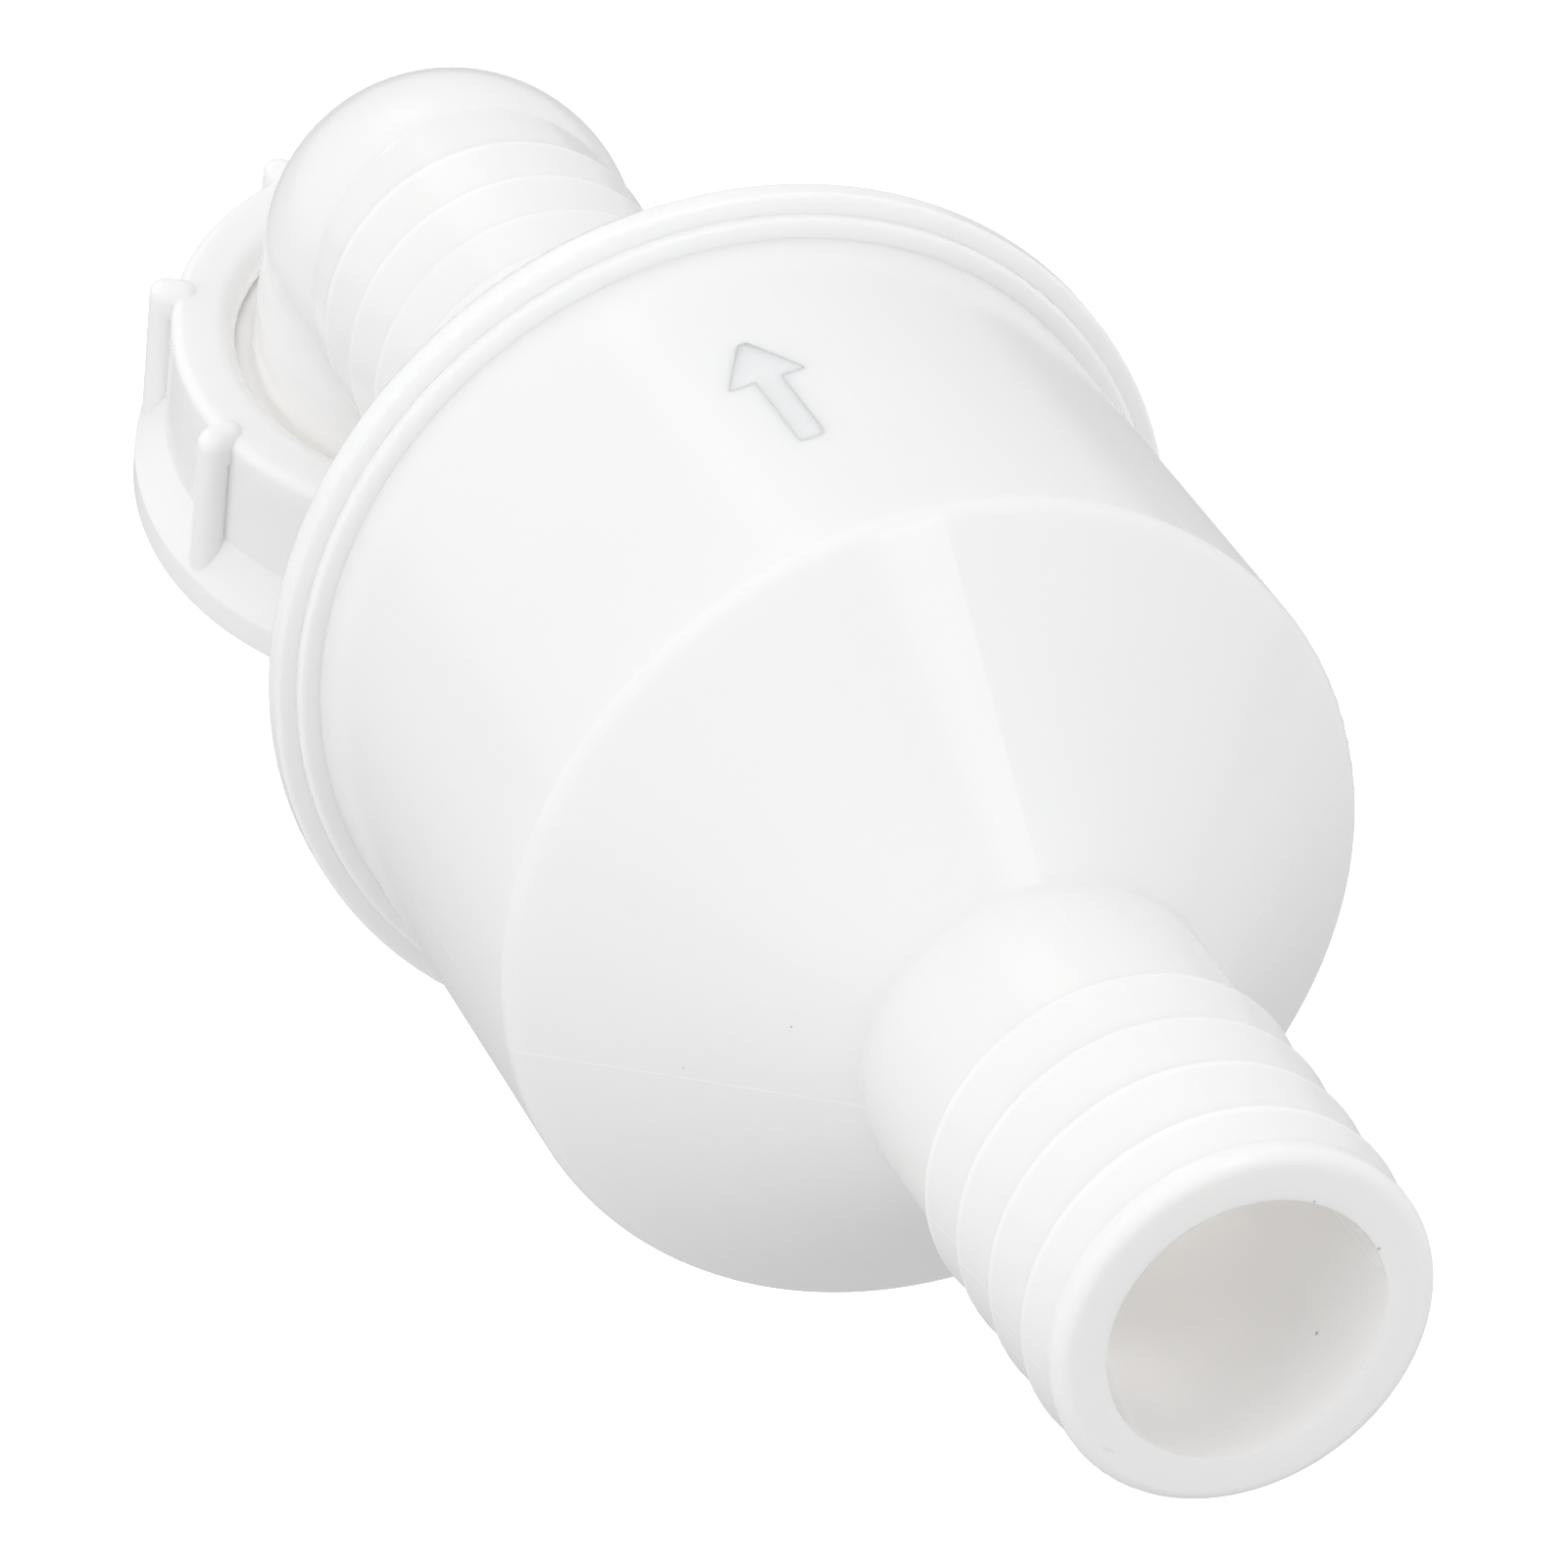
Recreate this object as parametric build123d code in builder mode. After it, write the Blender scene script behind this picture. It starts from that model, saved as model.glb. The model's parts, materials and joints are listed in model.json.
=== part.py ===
from build123d import *
from math import cos, radians, sin
import os

os.makedirs("parts", exist_ok=True)

# Drain non-return valve with an elbow hose tail and a loose union nut.
# Units are millimetres. +Z is up and the inlet spigot points to -Y along the valve's axis.
# The leg opens downward and leans to the rear. The origin lies on the leg's axis,
# at the lower end of the union nut's thread.
# Lengths along the valve are counted from the inlet mouth, radii from the valve's axis.

# Inlet spigot
bore_radius = 8.2
lip_radius = 11.15
lip_width = 1.4
lip_rounding = 0.85
barb_count = 4
barb_pitch = 4.65
barb_crest_radius = 11.35
barb_root_radius = 10.8
crest_land = 0.25
crest_drop = 0.35
crest_rounding = 0.12
neck_radius = 10.7
neck_length = 11.05

# Chamber
wall = 2.2
chamber_radius = 26.4
chamber_length = 33.5
cone_length = 15.7
shoulder_rounding = 1.3
neck_rounding = 0.85

# Stepped flange, with the outlet cover welded behind it
step_radius = 27.65
step_thickness = 0.75
flange_radius = 28.9
flange_thickness = 1.5
flange_rounding = 0.3

# Check ball with its guides and stops
ball_radius = 15.0
seat_gap = 0.2
ball_travel = 14.5
guide_gap = 0.3
guide_count = 4
guide_width = 1.6
guide_angle = 45
guide_end_gap = 0.5
stop_width = 1.8
stop_inner_radius = 4.2
stop_outer_radius = 17.0

# Outlet cover and its socket
cover_gap = 0.1
cover_radius = 27.8
cover_thickness = 2.2
plug_depth = 3.0
plug_wall = 2.0
hub_radius = 18.0
hub_length = 4.2
socket_radius = 14.4
socket_depth = 13.2
socket_gap = 0.05
ledge_thickness = 1.2
cover_rounding = 0.5

# Elbow hose tail
tail_bore_radius = 8.7
tail_radius = 11.15
tail_root_radius = 10.75
tail_crest_radius = 11.4
tail_barb_count = 5
tail_barb_pitch = 4.95
last_crest_to_leg = 7.9
leg_to_mouth = 131.55
leg_lean = 16.0
bend_radius = 12.3
bend_drop = 0.85
leg_taper_length = 4.25
leg_wall = 2.75
collar_step = 2.5
collar_thickness = 2.8
collar_fillet = 0.6
collar_rounding = 0.3

# Sealing washer
washer_step = 1.15
washer_thickness = 2.0
washer_gap = 0.02

# Union nut for a G1 port, bored to the thread's mean radius
axis_to_nut_top = 7.65
nut_height = 14.5
nut_plate = 2.0
nut_hole_clearance = 1.3
nut_hole_rounding = 1.4
nut_top_rounding = 0.75
thread_radius = 15.9
thread_depth = 0.75
thread_length = 6.4
thread_chamfer = 0.8
collar_clearance = 0.15
collar_slack = 0.3
nut_wall = 2.1
rim_width = 1.9
rim_height = 2.45
flare_height = 3.2
rim_rounding = 0.25
rib_count = 8
rib_width = 2.2
rib_height = 1.7
rib_lap = 1.6
rib_rise = 0.3
rib_rounding = 0.9
rib_first_angle = 198.0

# Places worked out from the sizes above
nut_top = nut_height - thread_chamfer
nut_bottom = -thread_chamfer
axes_cross = nut_top + axis_to_nut_top
bend_height = axes_cross - bend_drop
collar_top = nut_top - nut_plate - collar_slack
collar_bottom = collar_top - collar_thickness
relief_radius = thread_radius + thread_chamfer
collar_radius = thread_radius - thread_depth - collar_clearance
leg_radius = collar_radius - collar_step
leg_bore_radius = leg_radius - leg_wall
nut_hole_radius = leg_radius + nut_hole_clearance
barrel_radius = thread_radius + nut_wall
rim_radius = barrel_radius + rim_width
washer_hole_radius = leg_bore_radius + washer_step
cone_start = barb_count * barb_pitch + neck_length
cone_end = cone_start + cone_length
flange_start = cone_end + chamber_length
step_end = flange_start + step_thickness
flange_end = step_end + flange_thickness
chamber_inner_radius = chamber_radius - wall
cone_slope = (chamber_radius - neck_radius) / cone_length
cone_tilt = (1 + cone_slope**2) ** 0.5
inner_cone_offset = neck_radius - wall * cone_tilt
throat = cone_start + (bore_radius - inner_cone_offset) / cone_slope
inner_cone_end = cone_start + (chamber_inner_radius - inner_cone_offset) / cone_slope
cone_apex = cone_start - inner_cone_offset / cone_slope
ball_seat = cone_apex + ball_radius * cone_tilt / cone_slope + seat_gap
stop_start = ball_seat + ball_travel + (ball_radius**2 - stop_inner_radius**2) ** 0.5 + seat_gap
cover_end = flange_end + cover_thickness
ledge_end = cover_end + ledge_thickness
socket_end = ledge_end + socket_depth
tail_tip = ledge_end + cover_gap

# Heights on the leg are counted along its axis from the origin.
leg_sin = sin(radians(leg_lean))
leg_cos = cos(radians(leg_lean))
leg_plane = Plane(origin=(0, 0, 0), x_dir=(1, 0, 0), z_dir=(0, -leg_cos, -leg_sin))
leg_axis = Axis((0, 0, 0), (0, -leg_sin, leg_cos))

mouth_y = -axes_cross * leg_sin - leg_to_mouth
axis_z = axes_cross * leg_cos
valve_plane = Plane(origin=(0, mouth_y, axis_z), x_dir=(0, 1, 0), z_dir=(1, 0, 0))
valve_axis = Axis((0, mouth_y, axis_z), (0, 1, 0))


def cross_plane(distance):
    """Plane square to the valve's axis, at a distance from the inlet mouth."""
    return Plane(origin=(0, mouth_y + distance, axis_z), x_dir=(1, 0, 0), z_dir=(0, 1, 0))


def leg_cross_plane(height):
    """Plane square to the leg's axis, at a height on it."""
    return Plane(
        origin=(0, -height * leg_sin, height * leg_cos),
        x_dir=(1, 0, 0),
        z_dir=(0, -leg_sin, leg_cos),
    )


def corners(sketch, points):
    """Corners of a sketch that lie nearest to the given points."""
    return [min(sketch.vertices(), key=lambda v: (v.X - x) ** 2 + (v.Y - y) ** 2) for x, y in points]


def barb_outline(crests, crest_radius, root_radius):
    """Saw-tooth outline whose slopes rise away from the hose's free end."""
    points = []
    for crest in crests:
        points.append((crest - crest_land, crest_radius))
        points.append((crest, crest_radius))
        points.append((crest + crest_drop, root_radius))
    return points


def make_inlet_body():
    """Spigot, cone and chamber with the stepped flange, moulded in one piece."""
    crests = [barb_pitch * (i + 1) for i in range(barb_count)]
    barbs = barb_outline(crests, barb_crest_radius, barb_root_radius)
    with BuildPart() as inlet_body:
        with BuildSketch(valve_plane) as outside:
            with BuildLine():
                Polyline(
                    (0, 0),
                    (0, lip_radius),
                    (lip_width, lip_radius),
                    (lip_width + crest_drop, barb_root_radius),
                    *barbs[:-1],
                    (crests[-1] + crest_drop, neck_radius),
                    (cone_start, neck_radius),
                    (cone_end, chamber_radius),
                    (flange_start, chamber_radius),
                    (flange_start, step_radius),
                    (step_end, step_radius),
                    (step_end, flange_radius),
                    (flange_end, flange_radius),
                    (flange_end, 0),
                    close=True,
                )
            make_face()
            fillet(corners(outside, [(0, lip_radius)]), lip_rounding)
            crest_points = [(c, barb_crest_radius) for c in crests]
            fillet(corners(outside, crest_points), crest_rounding)
            fillet(corners(outside, [(cone_start, neck_radius)]), neck_rounding)
            fillet(corners(outside, [(cone_end, chamber_radius)]), shoulder_rounding)
            rim_points = [(flange_start, step_radius), (step_end, flange_radius)]
            fillet(corners(outside, rim_points), flange_rounding)
        revolve(axis=valve_axis)
        with BuildSketch(valve_plane):
            with BuildLine():
                Polyline(
                    (0, 0),
                    (0, bore_radius),
                    (throat, bore_radius),
                    (inner_cone_end, chamber_inner_radius),
                    (flange_end, chamber_inner_radius),
                    (flange_end, 0),
                    close=True,
                )
            make_face()
        revolve(axis=valve_axis, mode=Mode.SUBTRACT)
        guide_reach = chamber_inner_radius - ball_radius - guide_gap + wall / 4
        with BuildSketch(cross_plane(cone_end)):
            with PolarLocations(ball_radius + guide_gap, guide_count, start_angle=guide_angle):
                Rectangle(guide_reach, guide_width, align=(Align.MIN, Align.CENTER))
        extrude(amount=flange_end - plug_depth - guide_end_gap - cone_end)
    inlet_body.part.label = "inlet_body"
    return inlet_body


def make_outlet_cover():
    """Welded cover with its plug, the outlet socket and the stops that catch the ball."""
    plug_radius = chamber_inner_radius - cover_gap
    with BuildPart() as outlet_cover:
        with BuildSketch(valve_plane) as outside:
            with BuildLine():
                Polyline(
                    (flange_end - plug_depth, plug_radius - plug_wall),
                    (flange_end - plug_depth, plug_radius),
                    (flange_end, plug_radius),
                    (flange_end, cover_radius),
                    (cover_end, cover_radius),
                    (cover_end, hub_radius),
                    (cover_end + hub_length, socket_radius),
                    (socket_end, socket_radius),
                    (socket_end, tail_radius + socket_gap),
                    (ledge_end, tail_radius + socket_gap),
                    (ledge_end, tail_bore_radius),
                    (flange_end, tail_bore_radius),
                    (flange_end, plug_radius - plug_wall),
                    close=True,
                )
            make_face()
            soft_points = [(cover_end, cover_radius), (socket_end, socket_radius)]
            fillet(corners(outside, soft_points), cover_rounding)
            foot_points = [(cover_end, hub_radius), (cover_end + hub_length, socket_radius)]
            fillet(corners(outside, foot_points), cover_rounding)
        revolve(axis=valve_axis)
        with BuildSketch(cross_plane(stop_start)):
            with PolarLocations(stop_inner_radius, guide_count):
                Rectangle(
                    stop_outer_radius - stop_inner_radius,
                    stop_width,
                    align=(Align.MIN, Align.CENTER),
                )
        extrude(amount=flange_end + cover_thickness / 2 - stop_start)
    outlet_cover.part.label = "outlet_cover"
    return outlet_cover


def make_check_ball():
    """Floating ball that closes on the cone when water pushes back."""
    with BuildPart() as check_ball:
        with Locations(cross_plane(ball_seat).origin):
            Sphere(ball_radius)
    check_ball.part.label = "check_ball"
    return check_ball


def make_elbow():
    """Barbed tail, round bend and collared leg, moulded in one piece."""
    last_crest = leg_to_mouth - last_crest_to_leg
    crests = [last_crest - tail_barb_pitch * i for i in reversed(range(tail_barb_count))]
    first_root = crests[0] - tail_barb_pitch + crest_drop
    barbs = barb_outline(crests, tail_crest_radius, tail_root_radius)
    with BuildPart() as elbow:
        with BuildSketch(valve_plane) as tail:
            with BuildLine():
                Polyline(
                    (tail_tip, 0),
                    (tail_tip, tail_radius),
                    (first_root, tail_radius),
                    (first_root + crest_drop, tail_root_radius),
                    *barbs[:-1],
                    (last_crest + crest_drop, tail_radius),
                    (leg_to_mouth, tail_radius),
                    (leg_to_mouth, 0),
                    close=True,
                )
            make_face()
            crest_points = [(c, tail_crest_radius) for c in crests]
            fillet(corners(tail, crest_points), crest_rounding)
            fillet(corners(tail, [(tail_tip, tail_radius)]), cover_rounding)
        revolve(axis=valve_axis)
        with BuildSketch(leg_plane) as leg:
            with BuildLine():
                CenterArc((0, bend_height), bend_radius, 0, 90)
                Polyline(
                    (bend_radius, bend_height),
                    (leg_radius, bend_height - leg_taper_length),
                    (leg_radius, collar_top),
                    (collar_radius, collar_top),
                    (collar_radius, collar_bottom),
                    (0, collar_bottom),
                    (0, bend_height + bend_radius),
                )
            make_face()
            fillet(corners(leg, [(leg_radius, collar_top)]), collar_fillet)
            fillet(corners(leg, [(collar_radius, collar_top)]), collar_rounding)
        revolve(axis=leg_axis)
        with Locations(leg_cross_plane(bend_height).origin):
            Sphere(leg_bore_radius, mode=Mode.SUBTRACT)
        with BuildSketch(leg_cross_plane(collar_bottom)):
            Circle(leg_bore_radius)
        extrude(amount=bend_height - collar_bottom, mode=Mode.SUBTRACT)
        with BuildSketch(cross_plane(tail_tip)):
            Circle(tail_bore_radius)
        extrude(amount=leg_to_mouth - tail_tip, mode=Mode.SUBTRACT)
    elbow.part.label = "elbow"
    return elbow


def make_sealing_washer():
    """Flat washer that lies on the collar's face inside the nut."""
    with BuildPart() as sealing_washer:
        with BuildSketch(leg_cross_plane(collar_bottom - washer_gap - washer_thickness)):
            Circle(collar_radius)
            Circle(washer_hole_radius, mode=Mode.SUBTRACT)
        extrude(amount=washer_thickness)
    sealing_washer.part.label = "sealing_washer"
    return sealing_washer


def make_rib(foot, plate_bottom):
    """Upright grip rib at +X whose rounded head laps onto the nut's plate."""
    rib_end = barrel_radius + rib_height
    head_start = barrel_radius - rib_lap
    rib_top = nut_top + rib_rise
    with BuildPart() as rib:
        with BuildSketch(Plane.XY.offset(foot)):
            with Locations((rib_end - rib_width / 2, 0)):
                Circle(rib_width / 2)
        extrude(amount=rib_top - foot)
        with BuildSketch(Plane.XY.offset(plate_bottom)):
            with Locations(((head_start + rib_end) / 2, 0)):
                SlotOverall(rib_end - head_start, rib_width)
        extrude(amount=rib_top - plate_bottom)
        fillet(rib.edges().group_by(Axis.Z)[-1], rib_rounding)
    return rib


def make_union_nut():
    """Loose ribbed nut that draws the collar onto the port."""
    rim_top = nut_bottom + rim_height
    plate_bottom = nut_top - nut_plate
    rib = make_rib(rim_top - rim_rounding, plate_bottom)
    with BuildPart() as union_nut:
        with BuildSketch(leg_plane) as section:
            with BuildLine():
                Polyline(
                    (nut_hole_radius, nut_top),
                    (barrel_radius, nut_top),
                    (barrel_radius, rim_top + flare_height),
                    (rim_radius, rim_top),
                    (rim_radius, nut_bottom),
                    (thread_radius + thread_chamfer, nut_bottom),
                    (thread_radius, 0),
                    (thread_radius, thread_length),
                    (relief_radius, thread_length + relief_radius - thread_radius),
                    (relief_radius, plate_bottom),
                    (nut_hole_radius, plate_bottom),
                    close=True,
                )
            make_face()
            fillet(corners(section, [(nut_hole_radius, nut_top)]), nut_hole_rounding)
            fillet(corners(section, [(barrel_radius, nut_top)]), nut_top_rounding)
            fillet(corners(section, [(rim_radius, rim_top), (rim_radius, nut_bottom)]), rim_rounding)
        revolve(axis=leg_axis)
        with Locations(leg_cross_plane(0)):
            with PolarLocations(0, rib_count, start_angle=rib_first_angle):
                add(rib.part)
    union_nut.part.label = "union_nut"
    return union_nut


pieces = [
    make_inlet_body(),
    make_outlet_cover(),
    make_check_ball(),
    make_elbow(),
    make_sealing_washer(),
    make_union_nut(),
]

for piece in pieces:
    export_step(piece.part, f"parts/{piece.part.label}.step")
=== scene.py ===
import json
import math

import bpy
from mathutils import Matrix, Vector


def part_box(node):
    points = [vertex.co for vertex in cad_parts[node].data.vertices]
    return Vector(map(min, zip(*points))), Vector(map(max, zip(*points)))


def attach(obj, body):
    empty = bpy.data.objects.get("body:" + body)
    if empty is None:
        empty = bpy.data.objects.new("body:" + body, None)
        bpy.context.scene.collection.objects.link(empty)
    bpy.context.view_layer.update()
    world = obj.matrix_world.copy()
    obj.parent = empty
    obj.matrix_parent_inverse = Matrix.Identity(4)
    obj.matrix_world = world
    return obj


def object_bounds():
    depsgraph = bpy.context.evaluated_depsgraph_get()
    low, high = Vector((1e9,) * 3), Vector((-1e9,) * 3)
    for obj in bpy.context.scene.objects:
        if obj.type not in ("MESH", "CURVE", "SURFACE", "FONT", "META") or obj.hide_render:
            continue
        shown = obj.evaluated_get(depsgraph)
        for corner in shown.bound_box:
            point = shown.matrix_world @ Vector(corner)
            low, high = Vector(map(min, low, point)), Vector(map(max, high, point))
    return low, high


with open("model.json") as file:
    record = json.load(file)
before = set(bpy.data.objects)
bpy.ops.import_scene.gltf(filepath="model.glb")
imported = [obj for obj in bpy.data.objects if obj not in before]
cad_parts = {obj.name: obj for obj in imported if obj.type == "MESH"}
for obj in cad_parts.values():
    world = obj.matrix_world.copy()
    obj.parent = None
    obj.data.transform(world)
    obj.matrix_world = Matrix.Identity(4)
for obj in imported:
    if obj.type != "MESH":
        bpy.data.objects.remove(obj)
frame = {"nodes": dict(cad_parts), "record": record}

# Drain non-return valve in white plastic: its finishes, small moulded marks, light and camera
cadLow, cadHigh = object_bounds()
nodes = frame["nodes"]
bodyLow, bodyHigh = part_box("inlet_body")
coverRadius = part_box("outlet_cover")[1].x
mouth = Vector((0, bodyLow.y, (bodyLow.z + bodyHigh.z) / 2))  # middle of the inlet's mouth
threadMount = next(m for m in frame["record"]["mounts"] if m["name"] == "union_thread")
legDown = Vector(threadMount["axis"])
legLean = math.atan2(legDown.y, -legDown.z)
print("frame loaded, mouth at", [round(v, 4) for v in mouth])


# Helpers for the shader trees

def newMaterial(name):
    material = bpy.data.materials.new(name)
    material.use_nodes = True
    return material, material.node_tree


def addNode(tree, kind, **values):
    node = tree.nodes.new(kind)
    for key, value in values.items():
        setattr(node, key, value)
    return node


def setInputs(node, **values):
    for key, value in values.items():
        node.inputs[key].default_value = value
    return node


def newGroup(name, takes, gives):
    group = bpy.data.node_groups.new(name, "ShaderNodeTree")
    for label, kind, value in takes:
        socket = group.interface.new_socket(label, in_out="INPUT", socket_type=kind)
        if value is not None:
            socket.default_value = value
    for label, kind in gives:
        group.interface.new_socket(label, in_out="OUTPUT", socket_type=kind)
    return group, group.nodes.new("NodeGroupInput"), group.nodes.new("NodeGroupOutput")


def useGroup(tree, group, coords=None, **values):
    node = tree.nodes.new("ShaderNodeGroup")
    node.node_tree = group
    for key, value in values.items():
        node.inputs[key.replace("_", " ")].default_value = value
    if coords is not None:
        tree.links.new(coords, node.inputs["Vector"])
    return node


def mathNode(tree, operation, a, b=None, clamp=False):
    node = addNode(tree, "ShaderNodeMath", operation=operation, use_clamp=clamp)
    for socket, value in zip(node.inputs, (a, b)):
        if isinstance(value, (int, float)):
            socket.default_value = value
        elif value is not None:
            tree.links.new(value, socket)
    return node.outputs[0]


def vectorMath(tree, operation, a, b=None):
    node = addNode(tree, "ShaderNodeVectorMath", operation=operation)
    tree.links.new(a, node.inputs[0])
    if b is not None:
        tree.links.new(b, node.inputs[1])
    return node


def mixColour(tree, mask, first, second):
    node = addNode(tree, "ShaderNodeMix", data_type="RGBA")
    for socket, value in ((node.inputs[0], mask), (node.inputs[6], first), (node.inputs[7], second)):
        if isinstance(value, (int, float, tuple)):
            socket.default_value = value
        else:
            tree.links.new(value, socket)
    return node.outputs[2]


def stretchRange(tree, value, fromMin, fromMax, toMin, toMax, smooth=False):
    node = addNode(tree, "ShaderNodeMapRange", interpolation_type="SMOOTHSTEP" if smooth else "LINEAR")
    setInputs(node, **{"From Min": fromMin, "From Max": fromMax, "To Min": toMin, "To Max": toMax})
    tree.links.new(value, node.inputs["Value"])
    return node.outputs["Result"]


# Slow ripple of a polished mould and the fine grain on top of it
def makeSkinGroup():
    group, given, made = newGroup(
        "mouldSkin",
        [
            ("Vector", "NodeSocketVector", None),
            ("Ripple Size", "NodeSocketFloat", 90.0),
            ("Grain Size", "NodeSocketFloat", 2500.0),
            ("Grain Share", "NodeSocketFloat", 0.25),
        ],
        [("Height", "NodeSocketFloat"), ("Cloud", "NodeSocketFloat")],
    )
    ripple = setInputs(addNode(group, "ShaderNodeTexNoise"), Detail=2.0, Roughness=0.45)
    grain = setInputs(addNode(group, "ShaderNodeTexNoise"), Detail=3.0, Roughness=0.6)
    for texture, size in ((ripple, "Ripple Size"), (grain, "Grain Size")):
        group.links.new(given.outputs["Vector"], texture.inputs["Vector"])
        group.links.new(given.outputs[size], texture.inputs["Scale"])
    fine = mathNode(group, "MULTIPLY", grain.outputs["Fac"], given.outputs["Grain Share"])
    group.links.new(mathNode(group, "ADD", ripple.outputs["Fac"], fine), made.inputs["Height"])
    group.links.new(ripple.outputs["Fac"], made.inputs["Cloud"])
    return group


# Edges found from the rounded normal, which also softens them
def makeEdgeGroup():
    group, given, made = newGroup(
        "softEdge",
        [("Width", "NodeSocketFloat", 0.0004), ("Sharpness", "NodeSocketFloat", 6.0)],
        [("Mask", "NodeSocketFloat"), ("Normal", "NodeSocketVector")],
    )
    rounded = addNode(group, "ShaderNodeBevel", samples=4)
    group.links.new(given.outputs["Width"], rounded.inputs["Radius"])
    flat = addNode(group, "ShaderNodeNewGeometry")
    alike = vectorMath(group, "DOT_PRODUCT", rounded.outputs["Normal"], flat.outputs["Normal"])
    away = mathNode(group, "SUBTRACT", 1.0, alike.outputs["Value"])
    mask = mathNode(group, "MULTIPLY", away, given.outputs["Sharpness"], clamp=True)
    group.links.new(mask, made.inputs["Mask"])
    group.links.new(rounded.outputs["Normal"], made.inputs["Normal"])
    return group


rubShape = {"turn": (0.3, 0.5, 0.2), "stretch": (1400.0, 60.0, 1400.0), "contrast": 12.0}


# Hair-fine rub marks, drawn out mostly along the valve
def makeScratchGroup():
    group, given, made = newGroup(
        "rubMarks",
        [("Vector", "NodeSocketVector", None), ("Density", "NodeSocketFloat", 0.64)],
        [("Mask", "NodeSocketFloat")],
    )
    slant = addNode(group, "ShaderNodeMapping")
    setInputs(slant, Rotation=rubShape["turn"], Scale=rubShape["stretch"])
    group.links.new(given.outputs["Vector"], slant.inputs["Vector"])
    hair = setInputs(addNode(group, "ShaderNodeTexNoise"), Scale=1.0, Detail=2.0, Roughness=0.6)
    group.links.new(slant.outputs["Vector"], hair.inputs["Vector"])
    over = mathNode(group, "SUBTRACT", hair.outputs["Fac"], given.outputs["Density"])
    mask = mathNode(group, "MULTIPLY", over, rubShape["contrast"], clamp=True)
    group.links.new(mask, made.inputs["Mask"])
    return group


# A line where a plane through Centre, square to Across, cuts the skin
def makeSeamGroup():
    group, given, made = newGroup(
        "partingLine",
        [
            ("Vector", "NodeSocketVector", None),
            ("Centre", "NodeSocketVector", None),
            ("Across", "NodeSocketVector", None),
            ("Width", "NodeSocketFloat", 0.00012),
        ],
        [("Mask", "NodeSocketFloat")],
    )
    offset = vectorMath(group, "SUBTRACT", given.outputs["Vector"], given.outputs["Centre"])
    away = vectorMath(group, "DOT_PRODUCT", offset.outputs["Vector"], given.outputs["Across"])
    distance = mathNode(group, "ABSOLUTE", away.outputs["Value"])
    share = mathNode(group, "DIVIDE", distance, given.outputs["Width"])
    group.links.new(stretchRange(group, share, 1.0, 0.0, 0.0, 1.0, smooth=True), made.inputs["Mask"])
    return group


# Round or drawn-out spots at given places: place, half sizes and turn of each
def makeSpotGroup(name, spots):
    takes = [("Vector", "NodeSocketVector", None)]
    group, given, made = newGroup(name, takes, [("Mask", "NodeSocketFloat")])
    total = 0.0
    for place, size, turn in spots:
        local = addNode(group, "ShaderNodeMapping", vector_type="TEXTURE")
        setInputs(local, Location=place, Rotation=turn, Scale=size)
        group.links.new(given.outputs["Vector"], local.inputs["Vector"])
        away = vectorMath(group, "LENGTH", local.outputs["Vector"])
        near = stretchRange(group, away.outputs["Value"], 1.0, 0.6, 0.0, 1.0, smooth=True)
        total = mathNode(group, "MAXIMUM", near, total)
    group.links.new(total, made.inputs["Mask"])
    return group


# Inside this radius nothing counts as a barb; the rest are shares of the pitch
barbShape = {"inside": 0.0102, "crest": (0.86, 0.95), "valleyShade": (0.03, 0.3)}


# Crests and valleys of the hose barbs, counted along the valve; they carry painted highlight and painted
# shade
def makeBarbGroup():
    group, given, made = newGroup(
        "barbShade",
        [
            ("Vector", "NodeSocketVector", None),
            ("Centre", "NodeSocketVector", None),
            ("First", "NodeSocketFloat", 0.00465),
            ("Pitch", "NodeSocketFloat", 0.00465),
            ("Start", "NodeSocketFloat", 0.003),
            ("End", "NodeSocketFloat", 0.02),
        ],
        [("Crest", "NodeSocketFloat"), ("ValleyShade", "NodeSocketFloat")],
    )
    offset = vectorMath(group, "SUBTRACT", given.outputs["Vector"], given.outputs["Centre"])
    axes = addNode(group, "ShaderNodeSeparateXYZ")
    group.links.new(offset.outputs["Vector"], axes.inputs["Vector"])
    along = axes.outputs["Y"]
    squareX = mathNode(group, "POWER", mathNode(group, "ABSOLUTE", axes.outputs["X"]), 2.0)
    squareZ = mathNode(group, "POWER", mathNode(group, "ABSOLUTE", axes.outputs["Z"]), 2.0)
    square = mathNode(group, "ADD", squareX, squareZ)
    outside = mathNode(group, "GREATER_THAN", square, barbShape["inside"] ** 2)
    after = mathNode(group, "GREATER_THAN", along, given.outputs["Start"])
    before = mathNode(group, "LESS_THAN", along, given.outputs["End"])
    there = mathNode(group, "MULTIPLY", mathNode(group, "MULTIPLY", after, before), outside)

    fromFirst = mathNode(group, "SUBTRACT", along, given.outputs["First"])
    turns = mathNode(group, "DIVIDE", fromFirst, given.outputs["Pitch"])
    part = mathNode(group, "FRACT", mathNode(group, "ADD", turns, 20.0))  # 20 keeps the count above zero
    rising = stretchRange(group, part, *barbShape["crest"], 0.0, 1.0, smooth=True)
    falling = stretchRange(group, part, *barbShape["valleyShade"], 1.0, 0.0, smooth=True)
    firstHalf = mathNode(group, "LESS_THAN", part, 0.5)
    valleyShade = mathNode(group, "MULTIPLY", falling, firstHalf)
    group.links.new(mathNode(group, "MULTIPLY", rising, there), made.inputs["Crest"])
    group.links.new(mathNode(group, "MULTIPLY", valleyShade, there), made.inputs["ValleyShade"])
    return group


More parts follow.
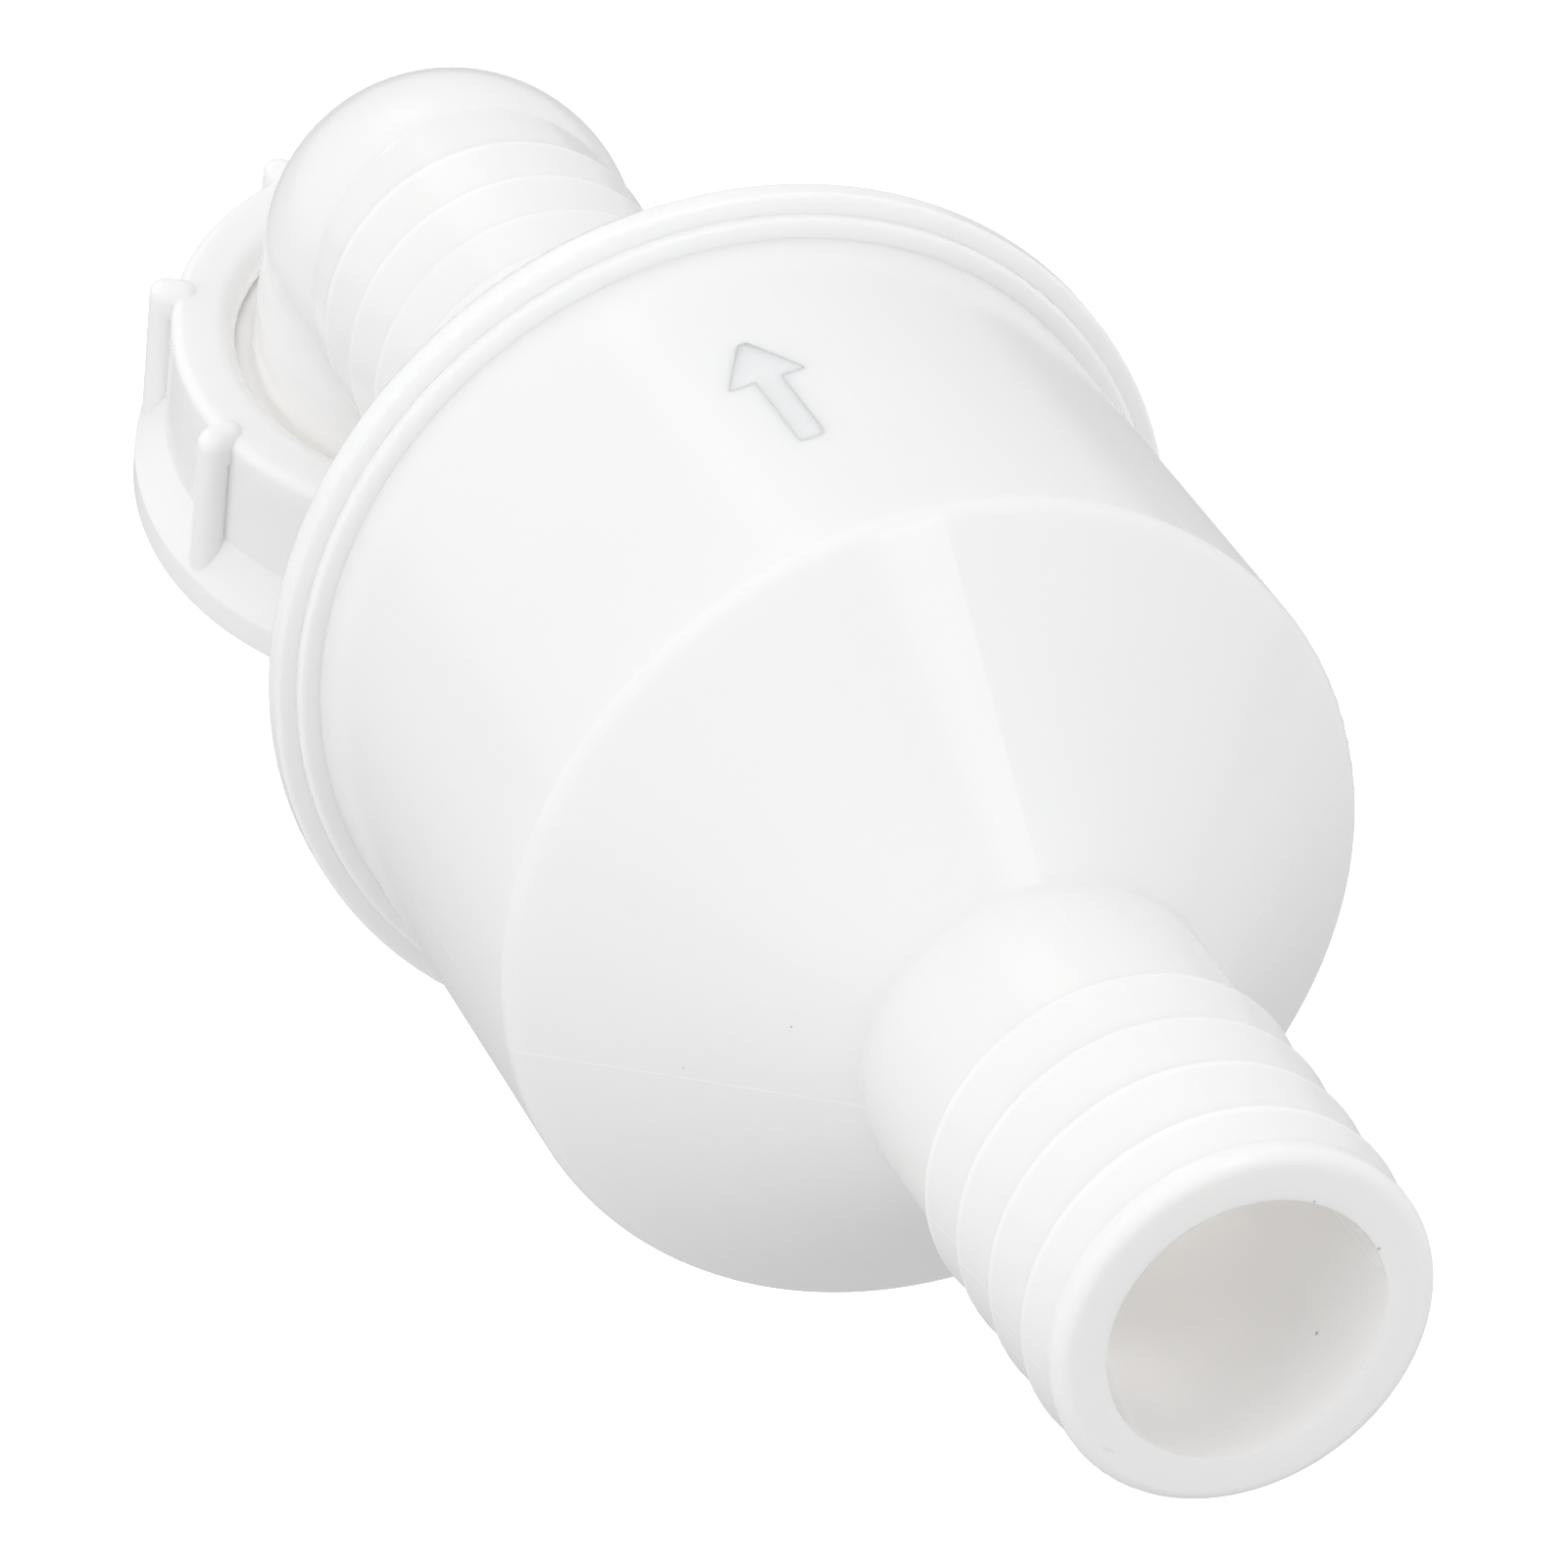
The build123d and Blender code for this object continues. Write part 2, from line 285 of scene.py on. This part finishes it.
# One band across the valve, between two places along it
def makeBandGroup():
    group, given, made = newGroup(
        "bandAlong",
        [
            ("Vector", "NodeSocketVector", None),
            ("Centre", "NodeSocketVector", None),
            ("Start", "NodeSocketFloat", 0.0),
            ("End", "NodeSocketFloat", 0.001),
        ],
        [("Mask", "NodeSocketFloat")],
    )
    offset = vectorMath(group, "SUBTRACT", given.outputs["Vector"], given.outputs["Centre"])
    axes = addNode(group, "ShaderNodeSeparateXYZ")
    group.links.new(offset.outputs["Vector"], axes.inputs["Vector"])
    after = mathNode(group, "GREATER_THAN", axes.outputs["Y"], given.outputs["Start"])
    before = mathNode(group, "LESS_THAN", axes.outputs["Y"], given.outputs["End"])
    group.links.new(mathNode(group, "MULTIPLY", after, before), made.inputs["Mask"])
    return group


skinGroup = makeSkinGroup()
edgeGroup = makeEdgeGroup()
scratchGroup = makeScratchGroup()
seamGroup = makeSeamGroup()
barbGroup = makeBarbGroup()
bandGroup = makeBandGroup()

# Dirt specks, from the inlet's mouth in millimetres: x, along, up, radius
speckList = [
    (3.3, 78.1, 26.3, 0.13),
    (-18.5, 37.5, -2.0, 0.09),
    (-13.7, 32.9, 2.5, 0.08),
    (-3.8, 9.4, 10.4, 0.16),
    (3.6, 0.1, 7.5, 0.16),
    (7.5, 0.1, 3.5, 0.18),
    (6.4, 5.1, -5.1, 0.15),
    (-9.0, 55.0, 24.9, 0.1),
    (12.0, 30.5, -1.0, 0.12),
]
noTurn = (0, 0, 0)
speckSpots = [(mouth + Vector((x, y, z)) / 1000, (r / 1000,) * 3, noTurn) for x, y, z, r in speckList]
speckGroup = makeSpotGroup("dirtSpecks", speckSpots)

# Two scuffs: one on the spigot's barbs, one on its lip
scuffSpots = [
    (mouth + Vector((-10.9, 9.6, 3.0)) / 1000, (0.00012, 0.0005, 0.0005), (0.3, 0, 0)),
    (mouth + Vector((-8.0, 0.0, -5.8)) / 1000, (0.0006, 0.0004, 0.00012), (0, 0.6, 0)),
]
scuffGroup = makeSpotGroup("scuffs", scuffSpots)

# Gate mark on the elbow's bend and the soft fold where its tail meets the leg: both raised in the bump,
# the gate painted lighter as a painted highlight, the fold darker as painted shade
bendMiddle = mouth + Vector((0, 131.78, -0.82)) / 1000
gateMiddle = bendMiddle + Vector((-5.2, -3.5, 10.5)) / 1000
foldMiddle = bendMiddle + Vector((-10.8, -5.2, -1.9)) / 1000
gateGroup = makeSpotGroup("gateMark", [(gateMiddle, (0.0012, 0.00035, 0.0004), (0, -0.52, 0.3))])
foldGroup = makeSpotGroup("foldPlace", [(foldMiddle, (0.0075,) * 3, noTurn)])
print("shader groups ready")

# Barbs along the valve from the mouth: first crest, pitch, start and end
spigotBarbs = (0.00465, 0.00465, 0.003, 0.0196)
tailBarbs = (0.10385, 0.00495, 0.1, 0.1248)
noBarbs = (0.0, 0.005, -1.0, -1.0)

plasticLook = {
    "body_plastic": {
        "colour": (0.89, 0.89, 0.89, 1),
        "shade": (0.87, 0.87, 0.872, 1),
        "rough": 0.19,
        "seam": 0.8,
        "barbs": spigotBarbs,
        "rimLight": 0.7,
    },
    "cover_plastic": {
        "colour": (0.89, 0.89, 0.89, 1),
        "shade": (0.87, 0.87, 0.872, 1),
        "rough": 0.19,
        "seam": 0.0,
        "barbs": noBarbs,
        "rimLight": 0.7,
    },
    "elbow_plastic": {
        "colour": (0.895, 0.895, 0.894, 1),
        "shade": (0.875, 0.875, 0.875, 1),
        "rough": 0.17,
        "seam": 0.0,
        "barbs": tailBarbs,
        "rimLight": 0.0,
    },
    # The nut is painted lighter than the body, standing in for light where it sits in shade under the
    # flange
    "nut_plastic": {
        "colour": (0.965, 0.964, 0.962, 1),
        "shade": (0.945, 0.945, 0.944, 1),
        "rough": 0.21,
        "seam": 0.0,
        "barbs": noBarbs,
        "rimLight": 0.0,
    },
    "ball_plastic": {
        "colour": (0.72, 0.72, 0.7, 1),
        "shade": (0.68, 0.68, 0.66, 1),
        "rough": 0.2,
        "seam": 0.0,
        "barbs": noBarbs,
        "rimLight": 0.0,
    },
}

skinLook = {"Ripple_Size": 70.0, "Grain_Size": 2200.0, "Grain_Share": 0.12}
edgeLook = {"Width": 0.00012, "Sharpness": 5.0}
rubLook = {"Density": 0.64}
fadeLook = (0.38, 0.6, 0.1, 1.0)  # the ripple fades crests and seam between these

# Marks on the plastic: the colour of each and how much of it shows. Edge, crest, rim light and gate are
# painted highlights, valley and fold painted shade
markLook = {
    "edge": ((0.95, 0.95, 0.95, 1), 0.7),
    "crest": ((0.98, 0.98, 0.98, 1), 0.5),
    "valleyShade": ((0.83, 0.83, 0.83, 1), 0.45),
    "seam": ((0.98, 0.98, 0.98, 1), 1.0),
    "rimLight": ((0.97, 0.97, 0.97, 1), 1.0),
    "scuff": ((0.7, 0.7, 0.69, 1), 0.3),
    "speck": ((0.42, 0.41, 0.4, 1), 0.8),
    "gate": ((0.98, 0.98, 0.98, 1), 0.7),
    "foldAndShade": ((0.8, 0.8, 0.8, 1), 0.35),
}

# How high each mark stands in the bump, and how much the ripple and the marks change the roughness
markHeight = {"rub": -0.1, "crest": 0.5, "scuff": -0.4, "gate": 0.8, "foldAndShade": 10.0}
roughChange = {"ripple": 0.02, "rub": 0.02, "scuff": 0.02}
bumpLook = {"Strength": 0.14, "Distance": 0.00012}

seamTurn = math.radians(98.5)
seamLook = {"start": 0.0012, "width": 0.00013}
flangeBand = (bodyHigh.y - mouth.y - 0.00235, bodyHigh.y - mouth.y + 0.0025)
foldLook = {"across": (-0.906, 0.036, -0.421), "width": 0.0011}
plasticInside = {
    "IOR": 1.49,
    "Subsurface Weight": 0.6,
    "Subsurface Radius": (1.0, 0.93, 0.87),
    "Subsurface Scale": 0.0016,
}


def paintMark(tree, name, mask, under):
    colour, share = markLook[name]
    return mixColour(tree, mathNode(tree, "MULTIPLY", mask, share), under, colour)


def raiseMark(tree, name, mask, under):
    return mathNode(tree, "ADD", under, mathNode(tree, "MULTIPLY", mask, markHeight[name]))


# White polypropylene: soft inner glow, satin gloss, painted highlights on edges, crests and flange,
# painted shade in valleys
def makePlastic(slotName, look):
    material, tree = newMaterial(slotName)
    principled = tree.nodes["Principled BSDF"]
    coords = addNode(tree, "ShaderNodeTexCoord").outputs["Object"]
    skin = useGroup(tree, skinGroup, coords, **skinLook)
    cloud = skin.outputs["Cloud"]
    edge = useGroup(tree, edgeGroup, **edgeLook)
    speck = useGroup(tree, speckGroup, coords).outputs["Mask"]
    scuff = useGroup(tree, scuffGroup, coords).outputs["Mask"]
    rubbed = useGroup(tree, scratchGroup, coords, **rubLook).outputs["Mask"]
    across = (math.cos(seamTurn), 0, math.sin(seamTurn))
    seam = useGroup(tree, seamGroup, coords, Centre=mouth, Across=across, Width=seamLook["width"])
    seamPart = useGroup(tree, bandGroup, coords, Centre=mouth, Start=seamLook["start"], End=flangeBand[0])
    seamed = mathNode(tree, "MULTIPLY", seam.outputs["Mask"], look["seam"])
    seamed = mathNode(tree, "MULTIPLY", seamed, seamPart.outputs["Mask"])
    first, pitch, start, end = look["barbs"]
    barbs = useGroup(
        tree, barbGroup, coords, Centre=mouth, First=first, Pitch=pitch, Start=start, End=end
    )
    rimLight = useGroup(tree, bandGroup, coords, Centre=mouth, Start=flangeBand[0], End=flangeBand[1])
    rimLightMask = mathNode(tree, "MULTIPLY", rimLight.outputs["Mask"], look["rimLight"])
    patchy = stretchRange(tree, cloud, *fadeLook)

    colour = mixColour(tree, cloud, look["shade"], look["colour"])
    # Painted highlight: every edge that the bevel finds is painted paler
    colour = paintMark(tree, "edge", edge.outputs["Mask"], colour)
    # Painted highlight on each barb crest and painted shade in the valley behind it; the crest is also
    # raised in the bump
    colour = paintMark(tree, "crest", mathNode(tree, "MULTIPLY", barbs.outputs["Crest"], patchy), colour)
    colour = paintMark(tree, "valleyShade", barbs.outputs["ValleyShade"], colour)
    colour = paintMark(tree, "seam", mathNode(tree, "MULTIPLY", seamed, patchy), colour)
    # Painted highlight: the band over the flange is painted lighter
    colour = paintMark(tree, "rimLight", rimLightMask, colour)
    colour = paintMark(tree, "scuff", scuff, colour)
    colour = paintMark(tree, "speck", speck, colour)

    smoothest, roughest = look["rough"] - roughChange["ripple"], look["rough"] + roughChange["ripple"]
    rough = stretchRange(tree, cloud, 0.3, 0.7, smoothest, roughest)
    for name, mask in (("rub", rubbed), ("scuff", scuff)):
        rough = mathNode(tree, "ADD", rough, mathNode(tree, "MULTIPLY", mask, roughChange[name]))
    tree.links.new(rough, principled.inputs["Roughness"])

    height = raiseMark(tree, "rub", rubbed, skin.outputs["Height"])
    height = mathNode(tree, "ADD", height, seamed)
    height = raiseMark(tree, "crest", barbs.outputs["Crest"], height)
    height = raiseMark(tree, "scuff", scuff, height)
    if slotName == "elbow_plastic":
        gate = useGroup(tree, gateGroup, coords).outputs["Mask"]
        foldPlace = useGroup(tree, foldGroup, coords)
        foldAndShade = useGroup(
            tree, seamGroup, coords, Centre=foldMiddle, Across=foldLook["across"], Width=foldLook["width"]
        )
        folded = mathNode(tree, "MULTIPLY", foldAndShade.outputs["Mask"], foldPlace.outputs["Mask"])
        height = raiseMark(tree, "gate", gate, height)
        height = raiseMark(tree, "foldAndShade", folded, height)
        # Painted highlight on the gate mark and painted shade in the crease of the fold
        colour = paintMark(tree, "gate", gate, colour)
        colour = paintMark(tree, "foldAndShade", folded, colour)
    tree.links.new(colour, principled.inputs["Base Color"])

    bump = setInputs(addNode(tree, "ShaderNodeBump"), **bumpLook)
    tree.links.new(height, bump.inputs["Height"])
    tree.links.new(edge.outputs["Normal"], bump.inputs["Normal"])
    tree.links.new(bump.outputs["Normal"], principled.inputs["Normal"])
    setInputs(principled, **plasticInside)
    return material


rubberLook = {
    "black": (0.018, 0.018, 0.019, 1),
    "dust": (0.05, 0.05, 0.05, 1),
    "rough": 0.7,
    "skin": {"Ripple_Size": 260.0, "Grain_Size": 3000.0, "Grain_Share": 0.5},
    "bump": {"Strength": 0.3, "Distance": 0.0001},
}


# Black rubber with a dull, slightly dusty skin
def makeRubber(slotName):
    material, tree = newMaterial(slotName)
    principled = tree.nodes["Principled BSDF"]
    coords = addNode(tree, "ShaderNodeTexCoord").outputs["Object"]
    skin = useGroup(tree, skinGroup, coords, **rubberLook["skin"])
    tone = mixColour(tree, skin.outputs["Cloud"], rubberLook["black"], rubberLook["dust"])
    tree.links.new(tone, principled.inputs["Base Color"])
    bump = setInputs(addNode(tree, "ShaderNodeBump"), **rubberLook["bump"])
    tree.links.new(skin.outputs["Height"], bump.inputs["Height"])
    tree.links.new(bump.outputs["Normal"], principled.inputs["Normal"])
    setInputs(principled, Roughness=rubberLook["rough"])
    return material


finishes = {slotName: makePlastic(slotName, look) for slotName, look in plasticLook.items()}
finishes["washer_rubber"] = makeRubber("washer_rubber")
for part in frame["record"]["subparts"]:
    node = nodes[part["node"]]
    node.data.materials.clear()
    node.data.materials.append(finishes[part["material_slot"]])
print("materials on", len(nodes), "nodes")


# Helpers for the added pieces

def startMesh(name):
    piece = bpy.context.object
    piece.name = name
    piece.data.name = name
    return piece


def selectPoints(piece, test):
    bpy.ops.object.mode_set(mode="OBJECT")
    points = piece.data.vertices
    for point in points:
        point.select = test(point.co)
    for edge in piece.data.edges:
        edge.select = all(points[i].select for i in edge.vertices)
    for face in piece.data.polygons:
        face.select = all(points[i].select for i in face.vertices)
    bpy.ops.object.mode_set(mode="EDIT")
    bpy.ops.mesh.select_mode(type="VERT")


def addModifier(piece, kind, **values):
    modifier = piece.modifiers.new(kind.lower(), kind)
    for key, value in values.items():
        setattr(modifier, key, value)
    bpy.ops.object.modifier_apply(modifier=modifier.name)


def finishPiece(piece, body, slotName, angle=40):
    bpy.ops.object.select_all(action="DESELECT")
    piece.select_set(True)
    bpy.context.view_layer.objects.active = piece
    bpy.ops.object.mode_set(mode="EDIT")
    bpy.ops.mesh.select_all(action="SELECT")
    bpy.ops.mesh.normals_make_consistent(inside=False)
    bpy.ops.object.mode_set(mode="OBJECT")
    bpy.ops.object.shade_smooth_by_angle(angle=math.radians(angle))
    piece.data.materials.append(finishes[slotName])
    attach(piece, body)


# Turns of the union nut's G1 thread: one rounded tooth swept along a screw line
threadSpec = {
    "rootRadius": 0.01605,
    "crestRadius": 0.01515,
    "rootWidth": 0.0019,
    "crestWidth": 0.0006,
    "pitch": 0.002309,
    "turns": 2.1,
    "stepsPerTurn": 96,
    "start": 0.0012,
    "rounding": 0.00022,
    "runOut": 0.12,
}


def makeNutThread():
    bpy.ops.object.select_all(action="DESELECT")
    bpy.ops.mesh.primitive_plane_add(size=1, enter_editmode=True)
    thread = startMesh("nutThread")
    bpy.ops.transform.rotate(value=math.pi / 2, orient_axis="X")
    root, crest = threadSpec["rootRadius"], threadSpec["crestRadius"]
    middle = (root + crest) / 2
    bpy.ops.transform.resize(value=(root - crest, 1, threadSpec["rootWidth"]))
    bpy.ops.transform.translate(value=(middle, 0, threadSpec["start"]))
    selectPoints(thread, lambda co: co.x < middle)
    bpy.ops.transform.resize(value=(1, 1, threadSpec["crestWidth"] / threadSpec["rootWidth"]))
    bpy.ops.mesh.bevel(affect="VERTICES", offset=threadSpec["rounding"], segments=3)
    bpy.ops.mesh.select_all(action="SELECT")
    bpy.ops.mesh.delete(type="ONLY_FACE")
    bpy.ops.object.mode_set(mode="OBJECT")
    ring = len(thread.data.vertices)
    turns = threadSpec["turns"]
    steps = int(turns * threadSpec["stepsPerTurn"])
    addModifier(
        thread,
        "SCREW",
        axis="Z",
        angle=turns * 2 * math.pi,
        screw_offset=turns * threadSpec["pitch"],
        steps=steps,
        render_steps=steps,
        iterations=1,
        use_smooth_shade=True,
    )
    # Both ends run out into the wall
    rings = len(thread.data.vertices) // ring
    for index, point in enumerate(thread.data.vertices):
        place = (index // ring) / (rings - 1) * turns
        fade = min(1.0, place / threadSpec["runOut"], (turns - place) / threadSpec["runOut"])
        radius = math.hypot(point.co.x, point.co.y)
        wanted = root + (radius - root) * max(fade, 0.0)
        point.co.x *= wanted / radius
        point.co.y *= wanted / radius
    bpy.ops.object.mode_set(mode="EDIT")
    bpy.ops.mesh.select_all(action="SELECT")
    bpy.ops.transform.rotate(value=-legLean, orient_axis="X", center_override=(0, 0, 0))
    bpy.ops.object.mode_set(mode="OBJECT")
    finishPiece(thread, "nut", "nut_plastic")


makeNutThread()
print("thread turned inside the nut")

# Plain flow arrow raised on the chamber, pointing from inlet to outlet
arrowSpec = {
    "middle": (-0.0036, 0.0618),
    "length": 0.0125,
    "shaft": 0.0018,
    "head": 0.0054,
    "headLength": 0.005,
    "tip": 0.04,
    "sunk": 0.00003,
    "proud": 0.00007,
    "cuts": 6,
    "depth": 0.0008,
}


def makeFlowArrow():
    bpy.ops.object.select_all(action="DESELECT")
    bpy.ops.mesh.primitive_grid_add(x_subdivisions=3, y_subdivisions=1, size=1, enter_editmode=True)
    arrow = startMesh("flowArrow")
    head, headLength, shaft = arrowSpec["head"], arrowSpec["headLength"], arrowSpec["shaft"]
    bpy.ops.transform.resize(value=(head, headLength, 1))
    selectPoints(arrow, lambda co: abs(co.x) < head / 4)
    bpy.ops.transform.resize(value=(shaft / (head / 3), 1, 1))
    selectPoints(arrow, lambda co: co.y > headLength / 4)
    bpy.ops.transform.resize(value=(arrowSpec["tip"], 1, 1))
    selectPoints(arrow, lambda co: co.y < -headLength / 4 and abs(co.x) < head / 3)
    shaftLength = arrowSpec["length"] - headLength
    bpy.ops.mesh.extrude_region_move(TRANSFORM_OT_translate={"value": (0, -shaftLength, 0)})
    bpy.ops.mesh.select_all(action="SELECT")
    bpy.ops.mesh.subdivide(number_cuts=arrowSpec["cuts"])
    across, along = arrowSpec["middle"]
    above = bodyHigh.z + 0.01  # clear of the chamber, to be dropped onto it
    bpy.ops.transform.translate(value=(across, mouth.y + along + shaftLength / 2, above))
    bpy.ops.object.mode_set(mode="OBJECT")
    addModifier(
        arrow,
        "SHRINKWRAP",
        target=nodes["inlet_body"],
        wrap_method="PROJECT",
        use_project_z=True,
        use_negative_direction=True,
        use_positive_direction=False,
    )
    bpy.ops.object.mode_set(mode="EDIT")
    bpy.ops.mesh.select_all(action="SELECT")
    bpy.ops.transform.translate(value=(0, 0, -arrowSpec["sunk"]))
    bpy.ops.mesh.region_to_loop()
    bpy.ops.mesh.select_mode(type="VERT")
    bpy.ops.mesh.select_all(action="INVERT")
    bpy.ops.transform.translate(value=(0, 0, arrowSpec["proud"]))
    bpy.ops.object.mode_set(mode="OBJECT")
    addModifier(arrow, "SOLIDIFY", thickness=arrowSpec["depth"], offset=-1)
    finishPiece(arrow, "valve", "body_plastic")


makeFlowArrow()
print("flow arrow raised on the chamber")

# Squeezed-out bead of the weld between the flange and the outlet cover
flashSpec = {
    "thickness": 0.00042,
    "behind": 0.0001,
    "around": 240,
    "across": 12,
    "unevenness": 0.00022,
    "lumps": 0.004,
}


def makeWeldFlash():
    bpy.ops.object.select_all(action="DESELECT")
    bpy.ops.mesh.primitive_torus_add(
        major_radius=coverRadius,
        minor_radius=flashSpec["thickness"],
        major_segments=flashSpec["around"],
        minor_segments=flashSpec["across"],
    )
    flash = startMesh("weldFlash")
    bpy.ops.object.mode_set(mode="EDIT")
    bpy.ops.mesh.select_all(action="SELECT")
    bpy.ops.transform.rotate(value=math.pi / 2, orient_axis="X", center_override=(0, 0, 0))
    bpy.ops.transform.translate(value=(0, bodyHigh.y + flashSpec["behind"], mouth.z))
    bpy.ops.object.mode_set(mode="OBJECT")
    lumps = bpy.data.textures.new("weldLumps", "CLOUDS")
    lumps.noise_scale = flashSpec["lumps"]
    addModifier(
        flash,
        "DISPLACE",
        texture=lumps,
        texture_coords="LOCAL",
        strength=flashSpec["unevenness"],
        mid_level=0.5,
    )
    finishPiece(flash, "valve", "body_plastic", angle=80)


makeWeldFlash()
print("weld bead laid behind the flange")


# Floor and sky
studio = {
    "floorBelow": 0.09,
    "floorSize": 6.0,
    "floorSeen": 0.97,
    "floorBounce": 0.55,
    "floorGlow": 0.35,
    "skyColour": (1.0, 1.0, 1.0, 1.0),
    "skyStrength": 0.66,
}


# The floor looks white, but throws only part of that light back up at the valve
def makeFloorMaterial():
    material, tree = newMaterial("floor")
    links = tree.links
    seen = tree.nodes["Principled BSDF"]
    white = (studio["floorSeen"],) * 3 + (1,)
    setInputs(seen, **{"Base Color": white, "Roughness": 0.9, "Specular IOR Level": 0.0})
    setInputs(seen, **{"Emission Color": (1, 1, 1, 1), "Emission Strength": studio["floorGlow"]})
    bounce = setInputs(addNode(tree, "ShaderNodeBsdfDiffuse"), Color=(studio["floorBounce"],) * 3 + (1,))
    ray = addNode(tree, "ShaderNodeLightPath")
    either = addNode(tree, "ShaderNodeMixShader")
    links.new(ray.outputs["Is Camera Ray"], either.inputs[0])
    links.new(bounce.outputs[0], either.inputs[1])
    links.new(seen.outputs[0], either.inputs[2])
    links.new(either.outputs[0], tree.nodes["Material Output"].inputs["Surface"])
    return material


def makeFloor():
    bpy.ops.object.select_all(action="DESELECT")
    floorPlace = (0, 0, cadLow.z - studio["floorBelow"])
    bpy.ops.mesh.primitive_plane_add(size=studio["floorSize"], location=floorPlace)
    floor = bpy.context.object
    floor.name = "floor"
    bpy.ops.object.transform_apply(location=True, rotation=False, scale=False)
    floor.data.materials.append(makeFloorMaterial())


# Soft lamps shade the valve, and the glossy ones are only mirrored in it, as its light streaks
lampList = {
    "leftWindow": {"place": (-0.77, -0.15, 0.42), "size": (0.6, 0.6), "power": 2.75, "glossy": False},
    "frontFill": {"place": (0.43, -0.57, 0.48), "size": (0.6, 0.6), "power": 1.4, "glossy": False},
    "rearFill": {"place": (-0.25, 0.65, 0.6), "size": (0.6, 0.6), "power": 1.4, "glossy": False},
    "lowFill": {"place": (-0.25, -0.9, 0.15), "size": (0.6, 0.6), "power": 0.7, "glossy": False},
    "rightFill": {"place": (0.8, 0.1, 0.4), "size": (0.6, 0.6), "power": 1.3, "glossy": False},
    "skylight": {"place": (0.2, -0.45, 0.8), "size": (0.24, 0.6), "power": 0.62, "glossy": True},
    "rearTube": {"place": (-0.07, 1.1, 0.8), "size": (0.16, 0.7), "power": 0.17, "glossy": True},
    "spigotTube": {"place": (-0.11, 0.9, 0.8), "size": (0.5, 0.3), "power": 0.24, "glossy": True},
}
glossyTurn = math.radians(9)


def makeLamp(name, lamp):
    data = bpy.data.lights.new(name, "AREA")
    data.shape = "RECTANGLE"
    data.size, data.size_y = lamp["size"]
    data.energy = lamp["power"]
    holder = bpy.data.objects.new(name, data)
    bpy.context.scene.collection.objects.link(holder)
    holder.location = mouth + Vector(lamp["place"])
    if lamp["glossy"]:
        holder.rotation_euler = (0, 0, glossyTurn)
        holder.visible_diffuse = False
    else:
        holder.rotation_mode = "QUATERNION"
        holder.rotation_quaternion = Vector(lamp["place"]).to_track_quat("Z", "Y")
        holder.visible_glossy = False


# The real walls let light through, so small warm glows stand inside the bore
boreGlow = {
    "colour": (1.0, 0.95, 0.9),
    "radius": 0.002,
    "places": ((0, 0.021, 0.0005), (-0.0015, 0.0095, -0.0022)),
    "powers": (0.00069, 0.0002),
}

# The same for the narrow gap between the leg and the nut
gapGlow = {
    "colour": (1.0, 0.94, 0.87),
    "radius": 0.0005,
    "count": 96,
    "ring": 0.0132,
    "height": 0.0118,
    "power": 0.0000032,
}


def makeGlow(name, glow, place, power):
    data = bpy.data.lights.new(name, "POINT")
    data.color = glow["colour"]
    data.shadow_soft_size = glow["radius"]
    data.energy = power
    holder = bpy.data.objects.new(name, data)
    bpy.context.scene.collection.objects.link(holder)
    holder.location = place
    holder.visible_camera = False
    holder.visible_glossy = False


def placeInGap(number):
    turn = 2 * math.pi * number / gapGlow["count"]
    side = Vector((1, 0, 0)) * math.cos(turn) + legDown.cross(Vector((1, 0, 0))) * math.sin(turn)
    return side * gapGlow["ring"] - legDown * gapGlow["height"]


makeFloor()
for lampName, lamp in lampList.items():
    makeLamp(lampName, lamp)
for number, place in enumerate(boreGlow["places"]):
    makeGlow("boreGlow" + str(number), boreGlow, mouth + Vector(place), boreGlow["powers"][number])
for number in range(gapGlow["count"]):
    makeGlow("gapGlow" + str(number), gapGlow, placeInGap(number), gapGlow["power"])

world = bpy.data.worlds.new("studio")
bpy.context.scene.world = world
world.use_nodes = True
setInputs(world.node_tree.nodes["Background"], Color=studio["skyColour"], Strength=studio["skyStrength"])
bpy.context.scene.view_settings.view_transform = "Standard"

cameraSpec = {
    "fromMouth": (-0.16038, -0.35372, 0.27284),
    "look": (0.301327, 0.796629, -0.524001),
    "lens": 202.84,
    "sensor": 36.0,
    "nearest": 0.01,
}
cameraData = bpy.data.cameras.new("camera")
cameraData.lens = cameraSpec["lens"]
cameraData.sensor_width = cameraSpec["sensor"]
cameraData.clip_start = cameraSpec["nearest"]
camera = bpy.data.objects.new("camera", cameraData)
bpy.context.scene.collection.objects.link(camera)
camera.location = mouth + Vector(cameraSpec["fromMouth"])
camera.rotation_mode = "QUATERNION"
camera.rotation_quaternion = Vector(cameraSpec["look"]).to_track_quat("-Z", "Y")
bpy.context.scene.camera = camera
print("floor, lamps and camera ready")
